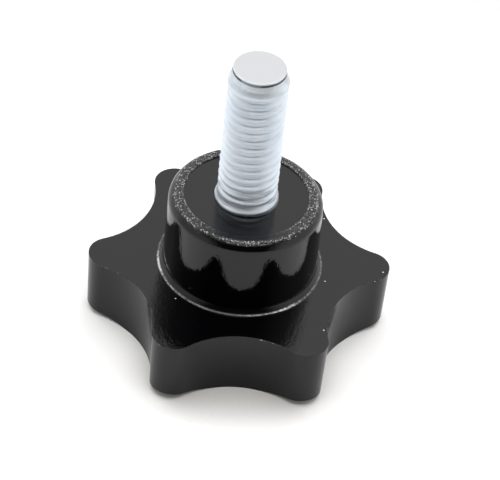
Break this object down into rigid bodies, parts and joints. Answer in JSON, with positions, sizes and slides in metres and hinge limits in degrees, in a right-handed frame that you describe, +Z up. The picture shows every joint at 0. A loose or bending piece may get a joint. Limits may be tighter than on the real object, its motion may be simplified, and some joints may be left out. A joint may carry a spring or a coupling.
{
  "type": "star knob screw",
  "caption": "Hand-tightened screw: a lobed black phenolic star knob with a round boss and a zinc-plated male threaded stud.",
  "frame": {"origin": "middle of the crown, the outer face of the knob, flat in its middle, that it stands on here", "axes": "+Z up the stud's axis, towards its free end; one lobe points along +X"},
  "size_m": [0.04, 0.0354, 0.0422],
  "materials": {
    "phenolic": "glossy as moulded, with a rough trimmed rim",
    "zinc_plate": "bright blue-white zinc plate over a rolled thread"
  },
  "bodies": {
    "root": {"star_knob": "phenolic", "threaded_stud": "zinc_plate"}
  },
  "joints": []
}
